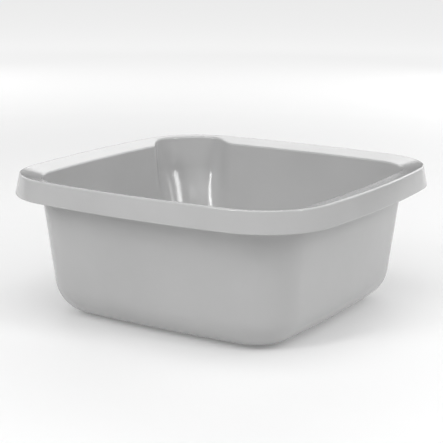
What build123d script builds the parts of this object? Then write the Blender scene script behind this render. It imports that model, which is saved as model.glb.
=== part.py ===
from build123d import *
import math
import os

# Washing up bowl: one moulded shell, square in plan, with bowed sides, a down-turned rim
# and a pouring lip in one corner. The origin is the middle of the foot, on the ground.
# The shell is drawn once, as the section of its wall through the middle of a side: up the
# outside, round the rim and down the inside. Each point of that section becomes an outline
# round the bowl, and the outlines are lofted in their order.
# A half is measured from the axis to the middle of a side. A bow is how far the middle of
# a side stands out beyond its ends.

# Whole bowl, measured before its edges are rounded
overall_width = 360.0
overall_height = 145.5
wall = 2.0

# Rim: the skirt hangs from the crest and leans out to its lower edge, and the flange slopes
# in from the crest to the mouth
rim_width = 20.3
skirt_height = 21.5
skirt_flare = 5.0
crest_corner_radius = 71.0
crest_bow = 14.0
flange_fall_angle = 13.0

# Body: its outside leans out from the foot to the rim
wall_draft_angle = 5.8
body_corner_radius = 50.0
body_bow_top = 9.7
body_bow_foot = 7.3

# Radii of the section's rounded corners, the foot's on the outside
foot_round = 36.5
skirt_edge_round = 0.9
crest_round = 1.9
mouth_round = 2.5

# Pouring lip: round the corner at -X and +Y the wall and the mouth swing out by lip_depth,
# along the flange's slope. The swing starts lip_lead before the mouth's corner and takes
# lip_ramp. It grows up the wall between two levels that are measured down from the rim
lip_depth = 14.0
lip_lead = 22.7
lip_ramp = 31.0
lip_foot_drop = 60.5
lip_full_drop = 8.5

# Base: a shallow panel pressed up inside the ring that the bowl stands on
ring_width = 6.2
panel_rise = 1.2
panel_draft = 1.0

# Gate mark: the dimple in the middle of the underside, with the stub of the gate in it
gate_radius = 8.0
gate_depth = 0.6
gate_stub_radius = 1.6
gate_stub_height = 0.4

# Strips in the foot's rounding, in each rounding of the rim and in the lip's growth up the
# wall, and steps along each half of the lip
foot_round_steps = 7
rim_round_steps = 2
lip_growth_steps = 5
lip_curve_steps = 4

crest_half = overall_width / 2 - skirt_flare
body_half_top = crest_half - rim_width
skirt_foot = overall_height - skirt_height
draft_slope = math.tan(math.radians(wall_draft_angle))
flange_slope = math.tan(math.radians(flange_fall_angle))
skirt_slope = skirt_flare / skirt_height
lip_foot = overall_height - lip_foot_drop
lip_full = overall_height - lip_full_drop


def blend(start, end, share):
    """Value at a share of the way from start to end."""
    return start + (end - start) * share


def smooth(share):
    """A share that leaves 0 and reaches 1 softly, and stays at either beyond."""
    share = min(max(share, 0), 1)
    return share * share * (3 - 2 * share)


def body_half(z):
    """The body's outside at height z, in the middle of a side."""
    return body_half_top - draft_slope * (overall_height - z)


def slanted(half, z, slope):
    """A line of the section, as its half at height zero and its growth with height."""
    return half - slope * z, slope


def at_height(line, z):
    """The point of a slanted line at a height."""
    return Vector(line[0] + line[1] * z, z)


def meeting(first, second):
    """The point where two slanted lines meet."""
    return at_height(first, (second[0] - first[0]) / (first[1] - second[1]))


def rounding(before, corner, after, radius, steps):
    """Points along the arc that rounds a corner of the section, in even steps."""
    back = (before - corner).normalized()
    ahead = (after - corner).normalized()
    opening = math.acos(back.dot(ahead))
    turn = math.pi - opening
    reach = radius / math.tan(opening / 2)
    centre = corner + (back + ahead).normalized() * (radius / math.sin(opening / 2))
    first = corner + back * reach - centre
    last = corner + ahead * reach - centre
    points = []
    for step in range(steps + 1):
        part = turn * step / steps
        points.append(centre + (first * math.sin(turn - part) + last * math.sin(part)) / math.sin(turn))
    return points


def lip_growth(z):
    """Share of the lip's full swing at height z."""
    return smooth((z - lip_foot) / (lip_full - lip_foot))


def section():
    """The wall's section, from the panel's underside to its top: points in their order, as
    half, height and share of the lip's swing."""
    thick = wall / math.cos(math.radians(wall_draft_angle))
    outside = slanted(body_half_top, overall_height, draft_slope)
    inside = slanted(body_half_top - thick, overall_height, draft_slope)
    skirt_thick = wall / math.cos(math.atan(skirt_slope))
    skirt_outside = slanted(crest_half, overall_height, -skirt_slope)
    skirt_inside = slanted(crest_half - skirt_thick, overall_height, -skirt_slope)
    flange_thick = wall / math.cos(math.radians(flange_fall_angle))
    flange = slanted(crest_half, overall_height, 1 / flange_slope)
    under_flange = slanted(crest_half, overall_height - flange_thick, 1 / flange_slope)

    # The panel's edge keeps the wall's thickness where it steps up
    foot = at_height(outside, 0)
    foot_flat = foot.X - foot_round * math.tan(math.radians(90 - wall_draft_angle) / 2)
    panel_edge = foot_flat - ring_width
    shift = wall * math.tan(math.atan2(panel_rise, panel_draft) / 2)

    levels = []
    for step in range(lip_growth_steps + 1):
        levels.append(blend(lip_foot, lip_full, step / lip_growth_steps))
    corners = [
        (Vector(panel_edge - panel_draft, panel_rise), 0),
        (Vector(panel_edge, 0), 0),
        (foot, 0, foot_round, foot_round_steps),
        *[(at_height(outside, z), lip_growth(z)) for z in levels],
        (meeting(outside, under_flange), 1),
        (meeting(skirt_inside, under_flange), 0),
        (at_height(skirt_inside, skirt_foot), 0, skirt_edge_round, rim_round_steps),
        (at_height(skirt_outside, skirt_foot), 0, skirt_edge_round, rim_round_steps),
        (meeting(skirt_outside, flange), 0, crest_round, rim_round_steps),
        (meeting(inside, flange), 1, mouth_round, rim_round_steps),
        *[(at_height(inside, z), lip_growth(z)) for z in reversed(levels)],
        (at_height(inside, wall), 0, foot_round - wall, foot_round_steps),
        (Vector(panel_edge + shift, wall), 0),
        (Vector(panel_edge - panel_draft + shift, wall + panel_rise), 0),
    ]

    points = []
    for index, (corner, swing, *round_over) in enumerate(corners):
        places = [corner]
        if round_over:
            places = rounding(corners[index - 1][0], corner, corners[index + 1][0], *round_over)
        points += [(place.X, place.Y, swing) for place in places]
    return points


def corner_centre(half, corner_radius, bow):
    """Distance of a corner arc's centre from both middle planes, and the side arc's radius."""
    side_radius = (half**2 + bow**2) / (2 * bow)
    setback = side_radius - half
    reach = side_radius - corner_radius
    return (math.sqrt(2 * reach**2 - setback**2) - setback) / 2, side_radius


def outline_radii(half, z):
    """Corner arcs' centre, side radius and corner radius of the outline at half and z. An
    outline inside the body's or outside the crest's is parallel to it, and one between them
    goes over from the body's to the crest's."""
    outward = half - body_half(z)
    over_rim = min(max(outward, 0), rim_width)
    parallel = outward - over_rim
    share = over_rim / rim_width
    body_bow = blend(body_bow_foot, body_bow_top, z / overall_height)
    corner_radius = blend(body_corner_radius, crest_corner_radius, share)
    centre, side_radius = corner_centre(half - parallel, corner_radius, blend(body_bow, crest_bow, share))
    return centre, side_radius + parallel, corner_radius + parallel


def direction(angle):
    """The level direction at an angle from +X."""
    return Vector(math.cos(angle), math.sin(angle), 0)


def side_reach(centre, side_radius, corner_radius):
    """How far a side's arc runs along the side, from its middle to the corner's arc."""
    return side_radius * centre / (side_radius - corner_radius)


def lip_start():
    """How far from the middle of a side the lip starts, at every level."""
    return side_reach(*outline_radii(body_half_top, overall_height)) - lip_lead


def lip_points(half, z, swing):
    """Points of the outline round the corner at +X and +Y, swung out by the lip."""
    centre, side_radius, corner_radius = outline_radii(half, z)
    setback = side_radius - half
    start_angle = math.asin(lip_start() / side_radius)
    end_angle = math.atan2(centre, centre + setback)
    side_run = side_radius * (end_angle - start_angle)
    half_run = side_run + corner_radius * (math.radians(45) - end_angle)
    near = []
    for step in range(lip_curve_steps + 1):
        run = half_run * step / lip_curve_steps
        push = lip_depth * swing * smooth(run / lip_ramp)
        if run < side_run:
            angle = start_angle + run / side_radius
            place = Vector(-setback, 0, z) + (side_radius + push) * direction(angle)
        else:
            angle = end_angle + (run - side_run) / corner_radius
            place = Vector(centre, centre, z) + (corner_radius + push) * direction(angle)
        near.append(place + Vector(0, 0, push * flange_slope))
    far = [Vector(point.Y, point.X, point.Z) for point in reversed(near[:-1])]
    return near + far


def outline(half, z, swing):
    """Wire round the bowl: four bowed sides and four round corners, the second with the lip."""
    centre, side_radius, corner_radius = outline_radii(half, z)
    setback = side_radius - half
    side_end = side_reach(centre, side_radius, corner_radius)
    middle = centre + corner_radius * math.sqrt(0.5)

    def side_point(y):
        return Vector(math.sqrt(side_radius**2 - y**2) - setback, y, z)

    edges = []
    for quarter in range(4):
        low = -lip_start() if quarter == 2 else -side_end
        high = lip_start() if quarter == 1 else side_end
        turn = 90 * quarter
        side = [side_point(y).rotate(Axis.Z, turn) for y in (low, (low + high) / 2, high)]
        edges.append(ThreePointArc(*side))
        if quarter == 1:
            lip = [point.rotate(Axis.Z, turn) for point in lip_points(half, z, swing)]
            start_angle = math.asin(lip_start() / side_radius)
            run_in = direction(math.radians(90) + start_angle).rotate(Axis.Z, turn)
            run_out = direction(math.radians(180) - start_angle).rotate(Axis.Z, turn)
            shares = [index / (len(lip) - 1) for index in range(len(lip))]
            edges.append(Edge.make_spline(lip, tangents=[run_in, run_out], parameters=shares))
        else:
            corner = [Vector(middle, middle, z), side_point(-side_end).rotate(Axis.Z, 90)]
            edges.append(ThreePointArc(side[-1], *[point.rotate(Axis.Z, turn) for point in corner]))
    return Wire(edges)


def make_bowl():
    """The whole shell, less the gate mark under it."""
    shell = Solid.make_loft([outline(*point) for point in section()], ruled=True)
    upward = (Align.CENTER, Align.CENTER, Align.MIN)
    dimple = Pos(0, 0, panel_rise) * Cylinder(gate_radius, gate_depth, align=upward)
    downward = (Align.CENTER, Align.CENTER, Align.MAX)
    stub = Pos(0, 0, panel_rise + gate_depth) * Cylinder(gate_stub_radius, gate_stub_height, align=downward)
    return shell - (dimple - stub)


os.makedirs("parts", exist_ok=True)
bowl = make_bowl()
print("bowl: solids", len(bowl.solids()), "valid", bowl.is_valid, "volume mm3", round(bowl.volume))
export_step(bowl, "parts/bowl.step")
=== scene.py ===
import math

import bpy
from mathutils import Matrix, Vector


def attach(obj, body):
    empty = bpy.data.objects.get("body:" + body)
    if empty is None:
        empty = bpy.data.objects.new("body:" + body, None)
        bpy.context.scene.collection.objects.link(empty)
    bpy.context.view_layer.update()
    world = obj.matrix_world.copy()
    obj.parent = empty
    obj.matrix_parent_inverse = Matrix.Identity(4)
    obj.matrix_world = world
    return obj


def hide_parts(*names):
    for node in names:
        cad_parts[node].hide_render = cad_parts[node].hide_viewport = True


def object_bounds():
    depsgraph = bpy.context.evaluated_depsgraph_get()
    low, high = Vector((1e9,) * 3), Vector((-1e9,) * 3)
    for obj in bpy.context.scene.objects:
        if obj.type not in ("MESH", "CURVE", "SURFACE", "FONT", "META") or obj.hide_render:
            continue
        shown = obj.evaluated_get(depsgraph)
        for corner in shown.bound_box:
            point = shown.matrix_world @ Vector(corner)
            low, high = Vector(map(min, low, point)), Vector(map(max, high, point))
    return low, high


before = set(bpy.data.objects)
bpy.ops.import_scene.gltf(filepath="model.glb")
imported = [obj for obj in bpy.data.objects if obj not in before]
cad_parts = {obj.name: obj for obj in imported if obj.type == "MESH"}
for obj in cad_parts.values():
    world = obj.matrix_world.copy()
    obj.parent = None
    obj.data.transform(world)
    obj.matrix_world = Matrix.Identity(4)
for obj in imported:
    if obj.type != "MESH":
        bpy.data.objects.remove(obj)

# Washing up bowl: one moulded shell in grey plastic on a pale floor. All lengths are in
# metres and all angles in degrees. The shell repeats the solid's named sizes, with finer
# roundings and with the lip's lower end as the photograph shows it.
# A half is measured from the axis to the middle of a side, and a bow is how far the middle
# of a side stands out beyond its ends. A swing is the lip's share of its full depth.

cad_low, cad_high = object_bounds()

# Shell
OVERALL_WIDTH = 0.360
OVERALL_HEIGHT = 0.1455
WALL = 0.002
RIM_WIDTH = 0.0203
SKIRT_HEIGHT = 0.0215
SKIRT_FLARE = 0.005
CREST_CORNER_RADIUS = 0.071
CREST_BOW = 0.014
FLANGE_FALL_ANGLE = 13.0
WALL_DRAFT_ANGLE = 5.8
BODY_CORNER_RADIUS = 0.050
BODY_BOW_TOP = 0.0097
BODY_BOW_FOOT = 0.0073
FOOT_ROUND = 0.0365
UNDER_RIM_ROUND = 0.0015
SKIRT_EDGE_ROUND = 0.0009
CREST_ROUND = 0.0019
MOUTH_ROUND = 0.0025
PANEL_ROUND = 0.0006

# Pouring lip: how deep it swings out, where along the side it starts, how long its ramp is,
# and the heights between which it grows
LIP_DEPTH = 0.014
LIP_START = 0.082
LIP_RAMP = 0.031
LIP_FOOT = 0.050
LIP_FULL = 0.108

# Base panel and gate mark
RING_WIDTH = 0.0062
PANEL_RISE = 0.0012
PANEL_DRAFT = 0.001
GATE_RADIUS = 0.008
GATE_DEPTH = 0.0006
GATE_STUB_RADIUS = 0.0016
GATE_STUB_HEIGHT = 0.0004
GATE_EDGE = 0.0003

# Mesh: steps along the section and along each eighth of the outline, and rings in each panel
FOOT_STEPS = 14
RIM_STEPS = 5
EDGE_STEPS = 3
WALL_STEPS = 4
LIP_STEPS = 18
SIDE_STEPS = 7
LEAD_STEPS = 7
CORNER_STEPS = 14
PANEL_RINGS = 5

# Camera: the photograph's angle, with its small tilt of the horizon. It aims a little beside
# and above the middle of the object
PHOTO_SIDE = 443
FOCAL_PIXELS = 1279
SENSOR_WIDTH = 36
CAMERA_AZIMUTH = 31.43
CAMERA_ELEVATION = 13.04
CAMERA_ROLL = 0.61
CAMERA_DISTANCE = 1.3328
AIM_RIGHT = -0.00453
AIM_UP = 0.01433
CLIP_END = 100

# Studio: soft panels round the bowl, and a weak even light from all round. Each panel has its
# azimuth from the camera, plus to its right, its elevation, width and height, and its brightness
LIGHT_DISTANCE = 2.2
LIGHT_AIM_HEIGHT = 0.1
LIGHTS = {
    "front": (-5, 52, 2.0, 0.9, 2.4),
    "overhead": (0, 80, 1.8, 1.2, 2.6),
    "strip_left": (-46, 31, 0.42, 0.9, 14.0),
    "strip_right": (56, 29, 0.32, 0.8, 14.0),
    "front_left": (-76, 36, 1.1, 0.9, 1.2),
    "front_right": (88, 36, 1.1, 0.9, 2.6),
    "left": (-115, 26, 1.2, 0.9, 1.1),
    "right": (122, 24, 1.0, 0.9, 2.4),
    "back": (180, 31, 2.2, 0.9, 2.0),
    "back_left": (-145, 14, 1.2, 0.9, 1.0),
    "back_right": (145, 14, 1.2, 0.9, 1.7),
}
WORLD_STRENGTH = 0.03

# Floor: pale, just under the bowl, with a glow of its own that grows between two distances
FLOOR_HALF = 7.0
FLOOR_LEVEL = -0.0002
FLOOR_COLOUR = 0.7
FLOOR_ROUGHNESS = 0.6
FLOOR_GLOW_NEAR = 0.16
FLOOR_GLOW_FAR = 0.8
FLOOR_GLOW_START = 0.9
FLOOR_GLOW_END = 3.0

# Plastic: shades of grey
GREY_DARK = 0.445
GREY_LIGHT = 0.475
GREY_WORN = 0.53

# Marks in the plastic: how many go to a metre, and how finely they are broken up
CLOUD_SCALE = 9.0
CLOUD_DETAIL = 3
FLOW_SCALE = 60.0
FLOW_DETAIL = 2
GRAIN_SCALE = 1500.0
GRAIN_DETAIL = 2
SCUFF_SCALE = 260.0
SCUFF_DETAIL = 4

# Noise values between which clouds and gloss change, and between which scuffs set in
NOISE_RANGE = (0.3, 0.7)
SCUFF_RANGE = (0.45, 0.65)

# Roughness of the clean plastic and of the scuffs, and depths of the marks
GLOSS_LOW = 0.09
GLOSS_HIGH = 0.14
ROUGH_WORN = 0.42
GRAIN_DEPTH = 0.00003
FLOW_DEPTH = 0.00015
SCUFF_DEPTH = 0.00005

# Heights where the foot's wear ends and the crest's begins, and the crest's share of full wear
FOOT_WEAR_TOP = 0.0025
CREST_WEAR_FOOT = 0.1430
CREST_WEAR_SHARE = 0.6

CREST_HALF = OVERALL_WIDTH / 2 - SKIRT_FLARE
BODY_HALF_TOP = CREST_HALF - RIM_WIDTH
SKIRT_FOOT = OVERALL_HEIGHT - SKIRT_HEIGHT
DRAFT_SLOPE = math.tan(math.radians(WALL_DRAFT_ANGLE))
FLANGE_SLOPE = math.tan(math.radians(FLANGE_FALL_ANGLE))
SKIRT_SLOPE = SKIRT_FLARE / SKIRT_HEIGHT


def blend(start, end, share):
    """Value at a share of the way from start to end."""
    return start + (end - start) * share


def smooth(share):
    """A share that leaves 0 and reaches 1 softly, and stays at either beyond."""
    share = min(max(share, 0), 1)
    return share * share * (3 - 2 * share)


def body_half(z):
    """The body's outside at height z, in the middle of a side."""
    return BODY_HALF_TOP - DRAFT_SLOPE * (OVERALL_HEIGHT - z)


def slanted(half, z, slope):
    """A line of the section, as its half at height zero and its growth with height."""
    return half - slope * z, slope


def at_height(line, z):
    """The point of a slanted line at a height."""
    return Vector((line[0] + line[1] * z, z))


def meeting(first, second):
    """The point where two slanted lines meet."""
    return at_height(first, (second[0] - first[0]) / (first[1] - second[1]))


def rounding(before, corner, after, radius, steps):
    """Points along the arc that rounds a corner of the section, in even steps."""
    back = (before - corner).normalized()
    ahead = (after - corner).normalized()
    opening = math.acos(back.dot(ahead))
    turn = math.pi - opening
    reach = radius / math.tan(opening / 2)
    centre = corner + (back + ahead).normalized() * (radius / math.sin(opening / 2))
    first = corner + back * reach - centre
    last = corner + ahead * reach - centre
    points = []
    for step in range(steps + 1):
        part = turn * step / steps
        points.append(centre + (first * math.sin(turn - part) + last * math.sin(part)) / math.sin(turn))
    return points


def lip_growth(z):
    """Share of the lip's full swing at height z."""
    return smooth((z - LIP_FOOT) / (LIP_FULL - LIP_FOOT))


def section():
    """The wall's section, from the panel's underside to its top: points in their order, as
    half, height and swing."""
    thick = WALL / math.cos(math.radians(WALL_DRAFT_ANGLE))
    outside = slanted(BODY_HALF_TOP, OVERALL_HEIGHT, DRAFT_SLOPE)
    inside = slanted(BODY_HALF_TOP - thick, OVERALL_HEIGHT, DRAFT_SLOPE)
    skirt_thick = WALL / math.cos(math.atan(SKIRT_SLOPE))
    skirt_outside = slanted(CREST_HALF, OVERALL_HEIGHT, -SKIRT_SLOPE)
    skirt_inside = slanted(CREST_HALF - skirt_thick, OVERALL_HEIGHT, -SKIRT_SLOPE)
    flange_thick = WALL / math.cos(math.radians(FLANGE_FALL_ANGLE))
    flange = slanted(CREST_HALF, OVERALL_HEIGHT, 1 / FLANGE_SLOPE)
    under_flange = slanted(CREST_HALF, OVERALL_HEIGHT - flange_thick, 1 / FLANGE_SLOPE)

    # The panel's edge keeps the wall's thickness where it steps up
    foot = at_height(outside, 0)
    foot_flat = foot.x - FOOT_ROUND * math.tan(math.radians(90 - WALL_DRAFT_ANGLE) / 2)
    panel_edge = foot_flat - RING_WIDTH
    shift = WALL * math.tan(math.atan2(PANEL_RISE, PANEL_DRAFT) / 2)

    levels = [blend(FOOT_ROUND, LIP_FOOT, step / WALL_STEPS) for step in range(1, WALL_STEPS)]
    levels += [blend(LIP_FOOT, LIP_FULL, step / LIP_STEPS) for step in range(LIP_STEPS + 1)]
    wall_top = meeting(outside, under_flange).y
    levels += [blend(LIP_FULL, wall_top, step / WALL_STEPS) for step in range(1, WALL_STEPS)]
    # The first and the last corner only give the roundings beside them their direction
    corners = [
        (Vector((0, PANEL_RISE)), None),
        (Vector((panel_edge - PANEL_DRAFT, PANEL_RISE)), 0, PANEL_ROUND, EDGE_STEPS),
        (Vector((panel_edge, 0)), 0, PANEL_ROUND, EDGE_STEPS),
        (foot, 0, FOOT_ROUND, FOOT_STEPS),
        *[(at_height(outside, z), lip_growth(z)) for z in levels],
        (meeting(outside, under_flange), 1, UNDER_RIM_ROUND, EDGE_STEPS),
        (meeting(skirt_inside, under_flange), 0, UNDER_RIM_ROUND, EDGE_STEPS),
        (at_height(skirt_inside, SKIRT_FOOT), 0, SKIRT_EDGE_ROUND, EDGE_STEPS),
        (at_height(skirt_outside, SKIRT_FOOT), 0, SKIRT_EDGE_ROUND, EDGE_STEPS),
        (meeting(skirt_outside, flange), 0, CREST_ROUND, RIM_STEPS),
        (meeting(inside, flange), 1, MOUTH_ROUND, RIM_STEPS),
        *[(at_height(inside, z), lip_growth(z)) for z in reversed(levels)],
        (at_height(inside, WALL), 0, FOOT_ROUND - WALL, FOOT_STEPS),
        (Vector((panel_edge + shift, WALL)), 0, PANEL_ROUND, EDGE_STEPS),
        (Vector((panel_edge - PANEL_DRAFT + shift, WALL + PANEL_RISE)), 0, PANEL_ROUND, EDGE_STEPS),
        (Vector((0, WALL + PANEL_RISE)), None),
    ]

    points = []
    for index, (corner, swing, *round_over) in enumerate(corners):
        if swing is None:
            continue
        places = [corner]
        if round_over:
            places = rounding(corners[index - 1][0], corner, corners[index + 1][0], *round_over)
        points += [(place.x, place.y, swing) for place in places]
    return points


def corner_centre(half, corner_radius, bow):
    """Distance of a corner arc's centre from both middle planes, and the side arc's radius."""
    side_radius = (half**2 + bow**2) / (2 * bow)
    setback = side_radius - half
    reach = side_radius - corner_radius
    return (math.sqrt(2 * reach**2 - setback**2) - setback) / 2, side_radius


def outline_radii(half, z):
    """Corner arcs' centre, side radius and corner radius of the outline at half and z. An
    outline inside the body's or outside the crest's is parallel to it, and one between them
    goes over from the body's to the crest's."""
    outward = half - body_half(z)
    over_rim = min(max(outward, 0), RIM_WIDTH)
    parallel = outward - over_rim
    share = over_rim / RIM_WIDTH
    body_bow = blend(BODY_BOW_FOOT, BODY_BOW_TOP, z / OVERALL_HEIGHT)
    corner_radius = blend(BODY_CORNER_RADIUS, CREST_CORNER_RADIUS, share)
    centre, side_radius = corner_centre(half - parallel, corner_radius, blend(body_bow, CREST_BOW, share))
    return centre, side_radius + parallel, corner_radius + parallel


def direction(angle):
    """The level direction at an angle in radians from +X."""
    return Vector((math.cos(angle), math.sin(angle), 0))


def eighth(half, z, swing):
    """Points of the outline from the middle of the side at +X to the corner's middle."""
    centre, side_radius, corner_radius = outline_radii(half, z)
    setback = side_radius - half
    start_angle = math.asin(LIP_START / side_radius)
    end_angle = math.atan2(centre, centre + setback)
    side_run = side_radius * (end_angle - start_angle)
    start = -LIP_START
    runs = [start * (1 - step / SIDE_STEPS) for step in range(SIDE_STEPS)]
    runs += [side_run * step / LEAD_STEPS for step in range(LEAD_STEPS)]
    corner_run = corner_radius * (math.radians(45) - end_angle)
    runs += [side_run + corner_run * step / CORNER_STEPS for step in range(CORNER_STEPS + 1)]
    points = []
    for run in runs:
        push = LIP_DEPTH * swing * smooth(run / LIP_RAMP)
        if run < 0:
            angle = start_angle * (1 - run / start)
            place = Vector((-setback, 0, z)) + side_radius * direction(angle)
        elif run < side_run:
            angle = start_angle + run / side_radius
            place = Vector((-setback, 0, z)) + (side_radius + push) * direction(angle)
        else:
            angle = end_angle + (run - side_run) / corner_radius
            place = Vector((centre, centre, z)) + (corner_radius + push) * direction(angle)
        points.append(place + Vector((0, 0, push * FLANGE_SLOPE)))
    return points


def outline(half, z, swing):
    """Points round the bowl, with the lip in its second corner, at -X and +Y."""
    ring = []
    for quarter in range(4):
        near = eighth(half, z, swing if quarter == 1 else 0)
        far = [Vector((point.y, point.x, point.z)) for point in reversed(near[1:-1])]
        turn = Matrix.Rotation(math.radians(90 * quarter), 3, "Z")
        ring += [turn @ point for point in near + far]
    return ring


def circle(like, radius, z):
    """A ring of points on a circle, each at the angle of the ring's point that it is like."""
    return [Vector((point.x, point.y, 0)).normalized() * radius + Vector((0, 0, z)) for point in like]


def panel_rings(edge, steps):
    """Rings that run in from the panel's edge: each ring is nearer to a circle than the last."""
    z = edge[0].z
    inner = circle(edge, GATE_RADIUS, z)
    rings = []
    for step in range(1, steps):
        share = 1 - (1 - step / steps) ** 2
        rings.append([far.lerp(near, share) for far, near in zip(edge, inner)])
    return rings + [inner]


def add_bowl():
    """The shell as one closed mesh, with the gate mark in its underside."""
    rings = [outline(*point) for point in section()]
    under = rings[0]
    z = under[0].z
    below = panel_rings(under, PANEL_RINGS)
    gate = [
        circle(under, GATE_RADIUS - GATE_EDGE, z + GATE_DEPTH),
        circle(under, GATE_STUB_RADIUS + GATE_EDGE, z + GATE_DEPTH),
        circle(under, GATE_STUB_RADIUS, z + GATE_DEPTH - GATE_STUB_HEIGHT),
    ]
    over = panel_rings(rings[-1], PANEL_RINGS)
    rings = list(reversed(below + gate)) + rings + over
    count = len(under)
    points = [point for ring in rings for point in ring]
    faces = []
    for index in range(len(rings) - 1):
        low, high = index * count, (index + 1) * count
        for place in range(count):
            after = (place + 1) % count
            faces.append((low + place, low + after, high + after, high + place))

    # A fan of triangles closes the first ring, and one turned the other way the last
    for flip, first in ((False, 0), (True, (len(rings) - 1) * count)):
        points.append(Vector((0, 0, points[first].z)))
        for place in range(count):
            ends = [first + (place + 1) % count, first + place]
            faces.append((len(points) - 1, *(reversed(ends) if flip else ends)))

    mesh = bpy.data.meshes.new("bowl_shell")
    mesh.from_pydata(points, [], faces)
    mesh.validate()
    mesh.shade_smooth()
    shell = bpy.data.objects.new("bowl_shell", mesh)
    bpy.context.collection.objects.link(shell)
    weights = shell.modifiers.new("weights", "WEIGHTED_NORMAL")
    weights.keep_sharp = True
    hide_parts("bowl")
    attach(shell, "root")
    return shell


def toward(azimuth, elevation):
    """Unit vector from the object to a viewer at these angles in degrees."""
    turn, rise = math.radians(azimuth), math.radians(elevation)
    return Vector((math.sin(turn) * math.cos(rise), -math.cos(turn) * math.cos(rise), math.sin(rise)))


def add_camera():
    """The scene's camera, at the photograph's angle."""
    back = toward(CAMERA_AZIMUTH, CAMERA_ELEVATION)
    level = toward(CAMERA_AZIMUTH + 90, 0)
    up = back.cross(level)
    roll = math.radians(CAMERA_ROLL)
    x_axis = level * math.cos(roll) + up * math.sin(roll)
    y_axis = up * math.cos(roll) - level * math.sin(roll)
    aim = (cad_low + cad_high) / 2 + level * AIM_RIGHT + up * AIM_UP
    data = bpy.data.cameras.new("camera")
    data.sensor_width = SENSOR_WIDTH
    data.lens = FOCAL_PIXELS / PHOTO_SIDE * SENSOR_WIDTH
    data.clip_end = CLIP_END
    camera = bpy.data.objects.new("camera", data)
    bpy.context.collection.objects.link(camera)
    axes = Matrix((x_axis, y_axis, back)).transposed().to_4x4()
    camera.matrix_world = Matrix.Translation(aim + back * CAMERA_DISTANCE) @ axes
    bpy.context.scene.camera = camera


def noise(tree, place, scale, detail):
    """A soft noise from 0 to 1 at a place."""
    node = tree.nodes.new("ShaderNodeTexNoise")
    node.inputs["Scale"].default_value = scale
    node.inputs["Detail"].default_value = detail
    tree.links.new(place, node.inputs["Vector"])
    return node.outputs["Fac"]


def spread(tree, value, from_low, from_high, to_low, to_high):
    """A value moved softly from one range to another, held at its ends."""
    node = tree.nodes.new("ShaderNodeMapRange")
    node.interpolation_type = "SMOOTHSTEP"
    node.inputs["From Min"].default_value = from_low
    node.inputs["From Max"].default_value = from_high
    node.inputs["To Min"].default_value = to_low
    node.inputs["To Max"].default_value = to_high
    tree.links.new(value, node.inputs["Value"])
    return node.outputs["Result"]


def combine(tree, operation, first, second):
    """Two values put together, such as their product or the larger of them."""
    node = tree.nodes.new("ShaderNodeMath")
    node.operation = operation
    tree.links.new(first, node.inputs[0])
    tree.links.new(second, node.inputs[1])
    return node.outputs["Value"]


def shade(tree, amount, dark, light):
    """A grey between two, by an amount from 0 to 1."""
    node = tree.nodes.new("ShaderNodeValToRGB")
    for stop, grey in zip(node.color_ramp.elements, (dark, light)):
        stop.color = (grey, grey, grey, 1)
    tree.links.new(amount, node.inputs["Fac"])
    return node.outputs["Color"]


def bump(tree, height, depth, below=None):
    """A bump of a depth in metres, on top of another bump."""
    node = tree.nodes.new("ShaderNodeBump")
    node.inputs["Distance"].default_value = depth
    tree.links.new(height, node.inputs["Height"])
    if below is not None:
        tree.links.new(below, node.inputs["Normal"])
    return node.outputs["Normal"]


def plastic():
    """Moulded plastic: grey, glossy, with faint clouds, a fine grain and worn edges."""
    material = bpy.data.materials.new("grey_plastic")
    material.use_nodes = True
    tree = material.node_tree
    shader = tree.nodes["Principled BSDF"]
    place = tree.nodes.new("ShaderNodeTexCoord").outputs["Object"]
    axes = tree.nodes.new("ShaderNodeSeparateXYZ")
    tree.links.new(place, axes.inputs["Vector"])

    # Wear where the bowl stands and where it is gripped, broken up into scuffs
    foot = spread(tree, axes.outputs["Z"], 0, FOOT_WEAR_TOP, 1, 0)
    crest = spread(tree, axes.outputs["Z"], CREST_WEAR_FOOT, OVERALL_HEIGHT, 0, CREST_WEAR_SHARE)
    scuffs = noise(tree, place, SCUFF_SCALE, SCUFF_DETAIL)
    edges = combine(tree, "MAXIMUM", foot, crest)
    wear = combine(tree, "MULTIPLY", edges, spread(tree, scuffs, *SCUFF_RANGE, 0, 1))

    clouds = noise(tree, place, CLOUD_SCALE, CLOUD_DETAIL)
    flow = noise(tree, place, FLOW_SCALE, FLOW_DETAIL)
    grain = noise(tree, place, GRAIN_SCALE, GRAIN_DETAIL)
    mix = tree.nodes.new("ShaderNodeMix")
    mix.data_type = "RGBA"
    tree.links.new(wear, mix.inputs["Factor"])
    clean = shade(tree, spread(tree, clouds, *NOISE_RANGE, 0, 1), GREY_DARK, GREY_LIGHT)
    worn = shade(tree, grain, GREY_LIGHT, GREY_WORN)
    tree.links.new(clean, mix.inputs["A"])
    tree.links.new(worn, mix.inputs["B"])
    tree.links.new(mix.outputs["Result"], shader.inputs["Base Color"])

    gloss = spread(tree, flow, *NOISE_RANGE, GLOSS_LOW, GLOSS_HIGH)
    rough = combine(tree, "MAXIMUM", gloss, spread(tree, wear, 0, 1, GLOSS_LOW, ROUGH_WORN))
    tree.links.new(rough, shader.inputs["Roughness"])

    surface = bump(tree, flow, FLOW_DEPTH)
    surface = bump(tree, grain, GRAIN_DEPTH, surface)
    surface = bump(tree, wear, SCUFF_DEPTH, surface)
    tree.links.new(surface, shader.inputs["Normal"])
    return material


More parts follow.
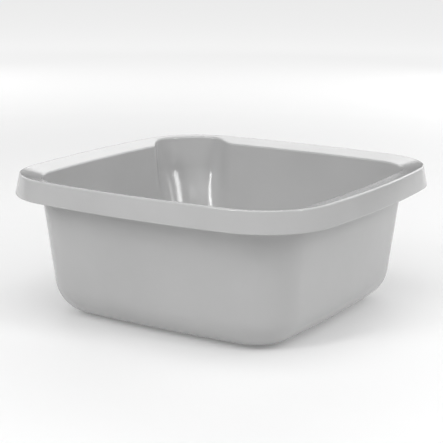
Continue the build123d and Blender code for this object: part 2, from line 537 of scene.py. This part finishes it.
def add_lights():
    """Soft panels that face the bowl from all round."""
    aim = Vector((0, 0, LIGHT_AIM_HEIGHT))
    for name, (azimuth, elevation, width, height, brightness) in LIGHTS.items():
        data = bpy.data.lights.new(name, "AREA")
        data.shape = "RECTANGLE"
        data.size = width
        data.size_y = height
        data.energy = brightness * math.pi * width * height
        panel = bpy.data.objects.new(name, data)
        bpy.context.collection.objects.link(panel)
        place = toward(CAMERA_AZIMUTH + azimuth, elevation)
        panel.location = aim + place * LIGHT_DISTANCE
        panel.rotation_euler = place.to_track_quat("Z", "Y").to_euler()
        panel.visible_camera = False


def add_floor():
    """A pale floor that runs past the view, and glows more the farther it is from the bowl."""
    mesh = bpy.data.meshes.new("floor")
    sides = [(-1, -1), (1, -1), (1, 1), (-1, 1)]
    corners = [(x * FLOOR_HALF, y * FLOOR_HALF, FLOOR_LEVEL) for x, y in sides]
    mesh.from_pydata(corners, [], [(0, 1, 2, 3)])
    floor = bpy.data.objects.new("floor", mesh)
    bpy.context.collection.objects.link(floor)
    material = bpy.data.materials.new("pale_floor")
    material.use_nodes = True
    tree = material.node_tree
    shader = tree.nodes["Principled BSDF"]
    shader.inputs["Base Color"].default_value = (FLOOR_COLOUR, FLOOR_COLOUR, FLOOR_COLOUR, 1)
    shader.inputs["Roughness"].default_value = FLOOR_ROUGHNESS
    shader.inputs["Emission Color"].default_value = (1, 1, 1, 1)
    length = tree.nodes.new("ShaderNodeVectorMath")
    length.operation = "LENGTH"
    tree.links.new(tree.nodes.new("ShaderNodeTexCoord").outputs["Object"], length.inputs[0])
    reach = (FLOOR_GLOW_START, FLOOR_GLOW_END)
    glow = spread(tree, length.outputs["Value"], *reach, FLOOR_GLOW_NEAR, FLOOR_GLOW_FAR)
    tree.links.new(glow, shader.inputs["Emission Strength"])
    mesh.materials.append(material)


def add_world():
    """Even white light from all round, far weaker than the panels."""
    world = bpy.data.worlds.new("studio")
    bpy.context.scene.world = world
    world.use_nodes = True
    background = world.node_tree.nodes["Background"]
    background.inputs["Color"].default_value = (1, 1, 1, 1)
    background.inputs["Strength"].default_value = WORLD_STRENGTH


bowl = add_bowl()
bowl.data.materials.append(plastic())
add_camera()
add_floor()
add_lights()
add_world()
bpy.context.scene.view_settings.view_transform = "Standard"
